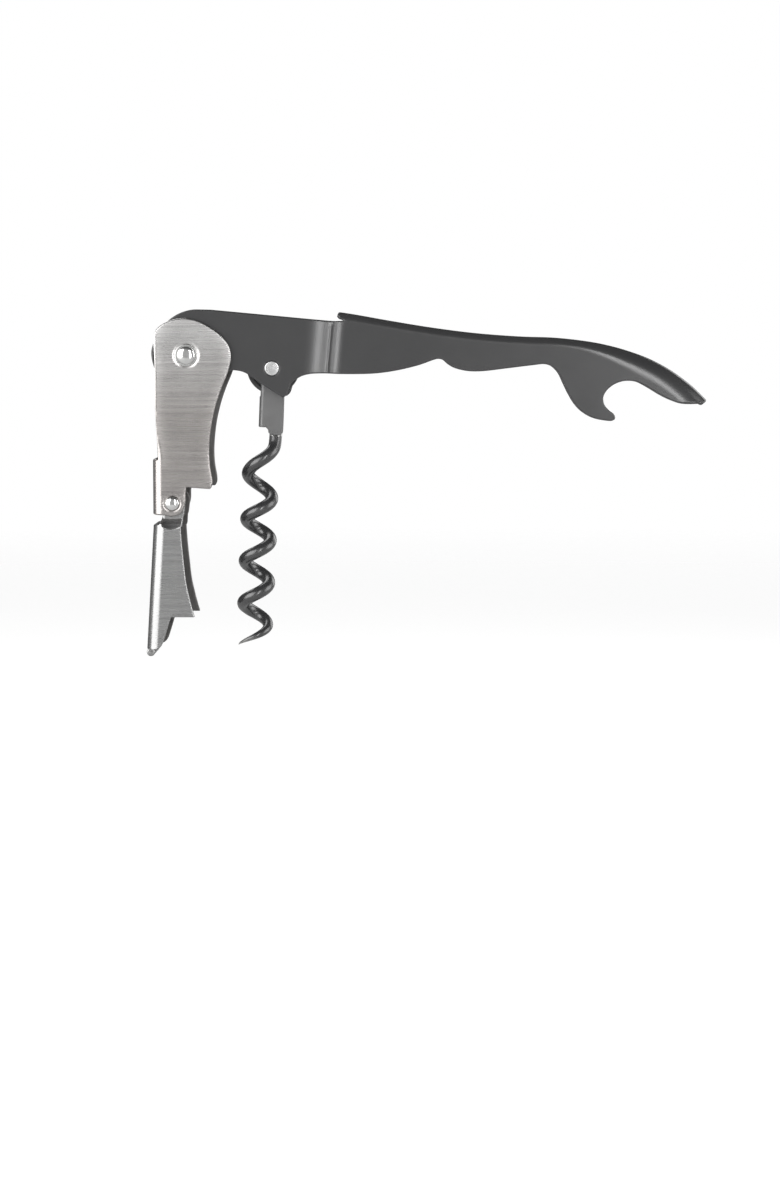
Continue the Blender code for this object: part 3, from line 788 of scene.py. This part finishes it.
def handle_outline(channel, tip_s, lip_s):
    """Half of the blank's outline. The runs go from the tail's tip below, round the head, to the lip."""
    runs = [
        [(117.0, -0.25), (115.0, -0.6), (113.0, -0.75), (111.0, -0.35), (108.5, 0.6), (105.5, 2.05),
         (103.2, 3.0), (101.3, 3.35), (99.3, 3.1), (97.4, 2.2), (95.9, 0.75), (95.25, -0.9), (95.6, -2.5),
         (96.7, -3.65), (97.9, -4.4), (98.4, -5.3), (97.9, -6.0), (96.5, -6.15), (93.5, -5.85),
         (91.0, -4.85), (89.0, -3.1), (87.4, -0.9), (86.0, 1.4), (84.8, 3.4), (83.2, 4.8), (81.3, 5.35),
         (78.5, 4.85), (72.5, 3.55), (67.5, 2.5), (64.0, 2.2), (61.0, 2.6), (59.2, 3.4), (58.2, 4.15),
         (57.2, 4.35), (56.0, 4.0), (52.5, 2.4), (47.5, 0.75), (42.5, -0.35), (36.0, -1.05), (31.5, -1.3),
         (28.2, -1.75), (25.8, -2.75), (24.3, -4.1), (23.95, -5.6), (23.6, -6.8), (22.8, -7.6)],
        [(22.8, -7.6), (20.4, -6.4), (17.4, -4.9), (14.2, -3.0), (12.0, -2.45), (9.5, -2.75), (6.5, -4.6),
         (3.0, -6.9), (-0.5, -7.8), (-4.0, -6.8), (-6.8, -3.9), (-8.0, -0.4), (-7.6, 2.5), (-6.6, 5.0),
         (-4.9, 7.3), (-2.6, 9.2), (0.2, 10.35), (3.6, 10.7)],
        [(3.6, 10.7), (12.0, 10.68), (20.0, 10.66), (31.0, 10.65), (34.0, 10.85)],
        [(34.0, 10.85), (34.8, 11.15), (34.2, 11.45), (33.5, 11.7)],
    ]
    points = []
    for run in runs:
        points += smooth(run, 0.55)[:-1]
    points = rounded(points + [Vector(runs[-1][-1])], 0.5)[:-1]
    cheek = [channel.develop(point) for point in points]
    corner = (tip_s, Channel.WEB + 0.5)
    start = line((tip_s, 0), corner, 1.0)
    start += smooth([corner, (tip_s - 0.25, Channel.WEB + 1.5), cheek[0]], 0.4)[:-1]
    return start + cheek + straight((lip_s, Channel.WEB + 1.4), (lip_s, 0))


def make_handle(material):
    top = [(-12, SPINE_TOP), (10, SPINE_TOP), (30, SPINE_TOP), (36, 12.7), (45, 11.95), (55, 11.25),
           (65, 10.9), (75, 11.05), (83, 11.5), (90, 11.4), (95, 10.95), (100, 10.05), (105, 8.7),
           (110, 6.6), (115, 3.6), (118.9, 0.5)]

    def fold(s):
        return 2.0 + 2.6 * ease((s - 97) / 22)

    def across(s):
        return 1.9 + 0.9 * ease((s - 100) / 20)

    def half(s, u, w):
        """The cheeks step in: a broad bend, a straight slope with a fine rib, and a tighter bend back."""
        first, slope, last = 4.4, 2.8, 2.2
        t = u - step_start
        ramp = 0.5 * clamp(t, first) ** 2 / first + clamp(t - first, slope)
        over = clamp(t - first - slope, last)
        ramp += over - 0.5 * over ** 2 / last
        rib = rib_height * exp(-((u - rib_place) / rib_width) ** 2)
        return HEAD_HALF + (NARROW_HALF - HEAD_HALF) * ramp / (0.5 * first + slope + 0.5 * last) + rib

    step_start, rib_place, rib_width, rib_height = 26.2, 32.2, 0.32, 0.04
    channel = Channel(smooth(top, 0.3), -1, fold, half, HANDLE_THICK, across=across)
    tip_s = channel.lengths[-1]
    lip_s = channel.develop((33.4, SPINE_TOP)).x
    offset = channel.develop((0, SPINE_TOP)).x
    s_lines = lines_along(offset - 9, tip_s, 1.5, [(offset + 26, offset + 36.5, 0.2)])
    spots = [((0, 0), RIVET_R + CLEARANCE, (3.0,)), (tuple(WORM_PIVOT), WORM_PIN_R + 0.05, (3.0,))]
    outline = handle_outline(channel, tip_s, lip_s)
    return channel_piece("handle_sheet", channel, outline, spots, s_lines, 1.5, 22, 0.32, HANDLE_FRAME,
                         material)


# ---------------- levers

def make_upper_lever(material, lining):
    web_x, web_top, web_bottom = -7.85, -23.6, -36.3
    spine_top = 12
    top_s, bottom_s = spine_top - web_top, spine_top - web_bottom

    def fold(s):
        return 1.0 + 1.2 * ease((s - top_s + 8) / 8)

    seats = [((0, 0), COIN_R, COIN_DEPTH), (tuple(BOOT_PIVOT), BOOT_COIN_R, COIN_DEPTH)]
    spine = [Vector((web_x, z)) for z in (spine_top, -10, -40)]
    channel = Channel(spine, 1, fold, lambda s, u, w: LEVER_HALF, SHEET, seats)
    head = [(-6.7, web_top), (-6.75, -20.5), (-7.05, -15), (-7.3, -9), (-7.2, -3), (-7.4, 2),
            (-7.4, 4.3), (-6.5, 6.1), (-4.3, 7.6), (-1.0, 8.4), (2.2, 7.95), (5.0, 6.65), (8.0, 4.45),
            (9.75, 2.0), (10.2, -0.6), (9.5, -3.9), (8.0, -7.6), (6.7, -11.5), (5.7, -16), (5.2, -21),
            (5.3, -25), (5.8, -28), (5.8, -29.5), (5.3, -30.4)]
    neck = [(-0.1, -30.0), (-0.3, -31.5), (-0.4, -33.7), (-1.3, -35.8), (-3.3, -36.65), (-5.1, -36.4)]
    points = rounded(smooth(head, 0.6) + line(head[-1], neck[0], 0.6)[1:] + smooth(neck, 0.4), 0.45)
    outline = channel.outline(points, top_s, 1.0, bottom_s, 0.6)
    rings = tuple(COIN_R * part for part in (0.62, 0.74, 0.86, 0.97, 1.06))
    boot_rings = tuple(BOOT_COIN_R * part for part in (0.68, 0.82, 0.96, 1.08))
    spots = [((0, 0), RIVET_R + CLEARANCE, rings), (tuple(BOOT_PIVOT), BOOT_RIVET_R + CLEARANCE, boot_rings)]
    return channel_piece("upper_lever_sheet", channel, outline, spots, lines_along(2, bottom_s, 0.9), 0.9, 19,
                         0.34, LEVER_FRAME, material, lining, (3.2, 0.14))


def make_boot_lever(material, lining):
    web_top, web_end = Vector((-4.5, -4.9)), Vector((-6.2, -33.6))
    down = (web_end - web_top).normalized()

    def half(s, u, w):
        """The cheeks step out below the neck, on a slope that is longest in the middle of the neck."""
        bulge = max(0.0, 1 - ((u + 0.3) / 3.2) ** 2)
        slope = 0.9 + 1.9 * bulge
        return NECK_HALF + (LEVER_HALF - NECK_HALF) * bent((-3.35 - w) / slope, 0.1)

    spine = line(web_top - down * 12, web_end + down * 4, 2.0) + [web_end + down * 4]
    channel = Channel(spine, 1, lambda s: 2.8, half, SHEET)
    neck = arc((0, 0), 2.9, 212, -2, 24)
    right = [(2.6, -2.6), (2.0, -4.6), (1.95, -6.5), (2.2, -10), (2.6, -14), (3.05, -18), (3.7, -21.2),
             (4.4, -24), (5.0, -26.05)]
    tongue = [(-0.5, -26.05), (-1.2, -28.3), (-1.9, -30.6), (-2.5, -32.3), (-3.3, -33.3), (-4.6, -33.7)]
    left = [(-3.2, -4.7), (-2.75, -3.9), (-2.4, -3.0), (-2.4, -2.1)]
    points = smooth(left, 0.5) + neck[1:] + smooth(right, 0.6) + line(right[-1], tongue[0], 0.6)[1:]
    points = rounded(points + smooth(tongue, 0.5), 0.4)
    top_s, end_s = channel.develop(web_top).x, channel.develop(web_end).x
    outline = channel.outline(points, top_s, 0.8, end_s, 0.6)
    s_lines = lines_along(top_s - 9, end_s, 1.3, [(top_s - 2.2, top_s + 2.5, 0.22)])
    spots = [((0, 0), BOOT_RIVET_R + CLEARANCE, ())]
    lever = channel_piece("boot_lever_sheet", channel, outline, spots, s_lines, 0.5, 12, 0.26, BOOT_FRAME,
                          material, lining)
    bead_r = 0.95
    bead_frame = place(web_end.x + bead_r - 0.1, web_end.y - 0.75, 0.0, BOOT_FRAME)
    return lever, rod("boot_lever_bead", bead_r, 5.6, 0.3, bead_frame, material)


# ---------------- worm

def make_worm_carrier(material):
    web_x, spine_top = -CLIP_R - 0.15, 5
    spine = [Vector((web_x, z)) for z in (spine_top, -6, -18)]
    channel = Channel(spine, 1, lambda s: 1.0, lambda s, u, w: CLIP_HALF, SHEET)
    web_top = -HUB_R - 0.5
    crown = arc((0, 0), CLIP_R, 180, 0, 24)
    plate = [Vector((-CLIP_R, web_top))] + line((-CLIP_R, web_top + 0.6), crown[0]) + crown
    plate += line((CLIP_R, -0.6), (CLIP_R, -8))
    plate += smooth([(CLIP_R, -8.0), (2.6, 0.6 - TONGUE_BOTTOM), (1.9, -TONGUE_BOTTOM), (0.5, -TONGUE_BOTTOM),
                     (TONGUE_LEFT, 0.5 - TONGUE_BOTTOM), (TONGUE_LEFT - 0.1, -0.6 - CLIP_BOTTOM),
                     (TONGUE_LEFT - 0.6, -CLIP_BOTTOM)], 0.4)
    plate.append(Vector((-2.0, -CLIP_BOTTOM)))
    end_s = spine_top + CLIP_BOTTOM
    outline = channel.outline(plate, spine_top - web_top, 0, end_s, 0, 1.5)
    spots = [((0, 0), WORM_PIN_R + 0.06, ())]
    return channel_piece("worm_clip", channel, outline, spots, lines_along(2.5, end_s, 1.0), 1.0, 5.5, 0.22,
                         WORM_FRAME, material)


def make_hub(material):
    """A disc with a shallow groove in both faces."""
    inner, outer = HUB_GROOVE
    floor = HUB_GROOVE_DEPTH - HUB_HALF
    face = [(WORM_PIN_R + BORE_GAP, -HUB_HALF), (inner, -HUB_HALF), (inner + 0.2, floor),
            (outer - 0.2, floor), (outer, -HUB_HALF), (HUB_R, -HUB_HALF)]
    profile = round_corners(face + [(radius, -y) for radius, y in reversed(face)], 0.22, True)
    return turned("worm_hub_disc", profile, WORM_FRAME, material)


def worm_path():
    """The wire's middle line: straight down out of the clip, then a right-handed coil to the point."""
    last_depth, last_turn = TURN_KNOTS[-1]
    turns = last_turn + (WORM_LENGTH - last_depth) / PITCH
    knots = list(TURN_KNOTS)
    knots += [(last_depth + PITCH * 0.5 * step, last_turn + 0.5 * step) for step in range(1, 5)]
    knots.append((WORM_LENGTH, turns))
    steps = line((HUB_R + 1.0, 0), TURN_KNOTS[0], 0.5) + smooth(knots, 0.14)
    points = []
    for depth, turn in steps:
        angle = -tau * turn
        radius = COIL_R + STRAIGHT_OUT * (1 - ease(turn / 0.4))
        points.append(Vector((COIL_X + radius * cos(angle), radius * sin(angle), -depth)))
    return points


def make_worm(material):
    """Round wire swept along its middle line, with a long ground point that ends on the coil's outside."""
    path = worm_path()
    lengths = [0.0]
    for a, b in zip(path, path[1:]):
        lengths.append(lengths[-1] + (b - a).length)
    point_length, tip_share, segments = 17.0, 0.06, 28
    bm = bmesh.new()
    rows = []
    side = Vector((0, 1, 0))
    for index, here in enumerate(path):
        before, after = path[max(index - 1, 0)], path[min(index + 1, len(path) - 1)]
        tangent = (after - before).normalized()
        side = (side - tangent * side.dot(tangent)).normalized()
        up = tangent.cross(side)
        taper = min(1.0, (lengths[-1] - lengths[index]) / point_length)
        radius = WIRE_R * (tip_share + (1 - tip_share) * (1 - (1 - taper) ** 1.8))
        outward = Vector((here.x - COIL_X, here.y, 0)).normalized()
        centre = here + outward * (WIRE_R - radius) * 0.55
        row = []
        for step in range(segments):
            angle = tau * step / segments
            row.append(bm.verts.new((centre + (side * cos(angle) + up * sin(angle)) * radius) * MM))
        rows.append(row)
    for a, b in zip(rows, rows[1:]):
        for step in range(segments):
            after = (step + 1) % segments
            bm.faces.new((a[step], a[after], b[after], b[step]))
    bm.faces.new(rows[0])
    bm.faces.new(rows[-1][::-1])
    bmesh.ops.recalc_face_normals(bm, faces=bm.faces)
    return add_piece("worm_wire", bm, WORM_FRAME, material)


# ---------------- knife

def make_knife(material):
    """A foil cutter with a serrated belly, a ground bevel and a nail nick."""
    tang = arc((0, 0), TANG_R, 110, 320, 40)
    belly = smooth([(7.5, 2.6), (11.0, 5.2), (TEETH_START, BELLY)], 0.5)
    teeth = []
    for tooth in range(TEETH):
        start = TEETH_START + TEETH_LENGTH * tooth / TEETH
        for step in range(1, 9):
            t = step / 8
            teeth.append(Vector((start + TEETH_LENGTH / TEETH * t, BELLY + TOOTH_DEPTH * sin(pi * t))))
    tip = smooth([(TEETH_START + TEETH_LENGTH, BELLY), (31.5, 6.3), (33.2, 8.0)], 0.4)[1:]
    back = smooth([(32.4, 9.6), (29.0, 10.2), (12.0, 10.2), (4.0, 8.6), (0.5, 5.6)], 0.7)
    outline = rounded(tang + belly + teeth + tip + back, 0.25)
    cutting = np.array([(13.0, 5.6), (28.0, 5.6), (31.5, 6.4), (33.1, 8.1)])
    nick = np.array([(11.5, 9.0), (17.5, 9.0)])
    nick_r, nick_depth, keen_half, ground = 0.55, 0.22, 0.07, 2.3

    def surface(side):
        def at(p):
            gap = nearest_edge(cutting[:-1], cutting[1:], p)[2]
            thick = keen_half + (BLADE_HALF - keen_half) * clamp((gap - 0.2) / ground)
            away = nearest_edge(nick[:1], nick[1:], p)[2]
            if side < 0 and away < nick_r:
                thick -= nick_depth * (1 - ease(away / nick_r))
            return Vector((p.x, side * thick, p.y)), Vector((0, side, 0))
        return at

    fill = [(x, z) for x in np.arange(-5, 34, 0.55) for z in np.arange(-5, 11, 0.55)]
    holes = [arc((0, 0), RIVET_R + CLEARANCE, 0, 360, 40)[:-1]]
    mesh = blank_mesh(outline, holes, [], fill, 0.06, True)
    return solid("knife_blade_steel", mesh, surface(-1), surface(1), 0.06, HANDLE_FRAME, material, False,
                 own_normals=False)


# ---------------- assembly

def claim(piece, body, node):
    """The piece moves with a body, and stands in for a node of the CAD."""
    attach(piece, body)
    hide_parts(node)


def build():
    coat = coated_steel()
    level_grain = (0.007, 0.007, 1)
    # The upper lever's last tone is painted light: the lever is drawn lighter towards its top.
    lever_steel = brushed("brushed_lever_steel", (0.45, 0.427, 0.414), 5200, 0.25, level_grain,
                          (0.63, 0.622, 0.615))
    # The boot lever's steel is the lever's brushed steel painted darker, as painted shade on the lower lever.
    boot_painted_shade_steel = brushed("brushed_boot_painted_shade_steel", (0.385, 0.385, 0.383), 5200, 0.25, level_grain)
    inner_face_painted_shade = painted_shade_inner_steel()
    pin_steel = brushed("peened_pin_steel", (0.86, 0.86, 0.86), 2600, 0.22, (1, 1, 1))
    blade_steel = brushed("ground_blade_steel", (0.42, 0.42, 0.415), 4200, 0.30, (1, 0.02, 0.02))
    bright = polished_steel("polished_rivet_steel", (0.84, 0.84, 0.83), 0.08)
    ring_steel = polished_steel("washer_steel", (0.72, 0.72, 0.71), 0.16)
    dark_plastic = plastic()

    claim(make_handle(coat), "handle", "handle")
    claim(make_upper_lever(lever_steel, inner_face_painted_shade), "upper_lever", "upper_lever")
    boot, bead = make_boot_lever(boot_painted_shade_steel, inner_face_painted_shade)
    claim(boot, "boot", "boot_lever")
    claim(bead, "boot", "boot_lever")
    claim(make_worm_carrier(grey_plating()), "worm", "worm_carrier")
    claim(make_worm(wire_coating()), "worm", "worm")
    claim(make_knife(blade_steel), "knife", "knife_blade")

    seat = LEVER_HALF - COIN_DEPTH + CLEARANCE
    washer = (seat, seat + WASHER_THICK)
    claim(domed_rivet("lever_rivet_steel", RIVET_R, RIVET_HEAD_R, washer[1] + CLEARANCE, RIVET_RISE,
                      HANDLE_FRAME, bright), "handle", "lever_rivet")
    claim(domed_rivet("boot_rivet_steel", BOOT_RIVET_R, BOOT_HEAD_R, seat, BOOT_RISE, BOOT_FRAME, bright),
          "upper_lever", "boot_rivet")
    claim(rod("worm_pin_steel", WORM_PIN_R, HEAD_HALF + PIN_PROUD, 0.14, PIN_FRAME, pin_steel),
          "handle", "worm_pin")

    inside_head = HEAD_HALF - HANDLE_THICK - SLEEVE_GAP
    for side, label in ((-1, "near"), (1, "far")):
        claim(sleeve(f"lever_washer_{label}_ring", RIVET_R + BORE_GAP, WASHER_R, *washer, LEVER_FRAME,
                     ring_steel, side, 0.1), "upper_lever", f"lever_washer_{label}")
        claim(sleeve(f"knife_sleeve_{label}", RIVET_R + BORE_GAP, KNIFE_SLEEVE_R, BLADE_HALF + SLEEVE_GAP,
                     inside_head, HANDLE_FRAME, dark_plastic, side), "handle", f"knife_spacer_{label}")
        claim(sleeve(f"worm_sleeve_{label}", WORM_PIN_R + BORE_GAP, WORM_SLEEVE_R, CLIP_HALF + SLEEVE_GAP,
                     inside_head, PIN_FRAME, dark_plastic, side), "handle", f"worm_spacer_{label}")
    claim(make_hub(dark_plastic), "worm", "worm_hub")
    neck_inside = NECK_HALF - SHEET - SLEEVE_GAP
    claim(sleeve("boot_hinge_sleeve", BOOT_RIVET_R + BORE_GAP, BOOT_SLEEVE_R, -neck_inside, neck_inside,
                 BOOT_FRAME, dark_plastic), "boot", "boot_sleeve")


# ---------------- camera, light and floor

FOCAL_MM = 89.19
CAMERA_SPOT = Vector((0.04353, -0.681, 0.05678))
CAMERA_AIM = Vector((0.03066, 0.0, -0.00826))
FLOOR_Z = -0.155
FLOOR_RADIUS = 2.4
SIDE_LIGHT, TOP_LIGHT = 0.42, 0.10      # the studio's own light, by height
REAR_LIGHT = 0.35                       # what is left of it straight behind the object
LIGHT_AIM = Vector((0.02, 0, 0.02))
SOFTBOXES = (                           # name, azimuth, elevation, distance, size and radiance
    ("front_strip", 15, 8, 1.2, (0.13, 0.8), 9.0),
    ("left_box", -50, 8, 1.0, (1.2, 1.1), 3.0),
    ("right_box", 80, 12, 1.0, (0.8, 0.9), 2.3),
    ("rear_left_box", -150, 45, 1.1, (0.6, 0.7), 2.2),
    ("rear_right_box", 138, 18, 1.1, (0.5, 0.9), 2.2),
)


def make_camera():
    data = bpy.data.cameras.new("camera")
    data.lens = FOCAL_MM
    data.sensor_width = 36.0
    camera = add_object("camera", data)
    camera.location = CAMERA_SPOT
    camera.rotation_euler = (CAMERA_AIM - CAMERA_SPOT).to_track_quat("-Z", "Y").to_euler()
    bpy.context.scene.camera = camera


def softbox(name, azimuth, elevation, distance, size, radiance):
    """A soft rectangle of light. Azimuth 0 is the camera's side and 90 is the right. Radiance 1 is white."""
    data = bpy.data.lights.new(name, "AREA")
    data.shape = "RECTANGLE"
    data.size, data.size_y = size
    data.energy = radiance * pi * size[0] * size[1]
    light = add_object(name, data)
    a, e = radians(azimuth), radians(elevation)
    back = Vector((sin(a) * cos(e), -cos(a) * cos(e), sin(e)))
    light.location = LIGHT_AIM + back * distance
    light.rotation_euler = (-back).to_track_quat("-Z", "Y").to_euler()
    light.visible_camera = False


def make_stage():
    """A pale floor that fades out into the white round it, and that isn't seen from below."""
    bm = bmesh.new()
    bmesh.ops.create_circle(bm, cap_ends=True, segments=128, radius=FLOOR_RADIUS)
    n = new_material("pale_floor")
    place_on_floor = n.add("ShaderNodeTexCoord").outputs["Object"]
    reach = n.add("ShaderNodeVectorMath", {0: place_on_floor}, operation="LENGTH").outputs["Value"]
    fade = n.span(reach, 0.45 * FLOOR_RADIUS, 0.95 * FLOOR_RADIUS, 1.0, 0.0)
    from_below = n.add("ShaderNodeNewGeometry").outputs["Backfacing"]
    fade = n.math("MULTIPLY", fade, n.math("SUBTRACT", 1.0, from_below))
    seen = n.add("ShaderNodeLightPath").outputs["Is Camera Ray"]
    material = n.finish(Base_Color=(0.62, 0.62, 0.62, 1), Roughness=0.9, Alpha=fade, Specular_IOR_Level=0.1,
                        Emission_Color=WHITE, Emission_Strength=n.span(seen, 0, 1, 0.1, 0.80))
    floor = add_piece("floor", bm, Matrix.Translation((0.03, 0, FLOOR_Z)), material)


def make_light():
    """Plain white behind the object. The light that it gives is weaker towards the top and the rear."""
    world = bpy.data.worlds.new("studio")
    bpy.context.scene.world = world
    n = Nodes(world)
    given = n.tree.nodes["Background"]
    by_height = n.span(n.axis("Generated", "Z"), 0.2, 0.75, SIDE_LIGHT, TOP_LIGHT,
                       interpolation_type="SMOOTHSTEP")
    by_depth = n.span(n.axis("Generated", "Y"), 0.2, 0.7, 1.0, REAR_LIGHT, interpolation_type="SMOOTHSTEP")
    n.set(given.inputs["Color"], WHITE)
    n.set(given.inputs["Strength"], n.math("MULTIPLY", by_height, by_depth))
    seen = n.add("ShaderNodeBackground", {"Color": WHITE})
    camera_ray = n.add("ShaderNodeLightPath").outputs["Is Camera Ray"]
    mix = n.add("ShaderNodeMixShader", {0: camera_ray, 1: given.outputs["Background"],
                                        2: seen.outputs["Background"]})
    n.set(n.tree.nodes["World Output"].inputs["Surface"], mix.outputs["Shader"])
    for box in SOFTBOXES:
        softbox(*box)
    bpy.context.scene.view_settings.view_transform = "Standard"


build()
make_camera()
make_light()
make_stage()
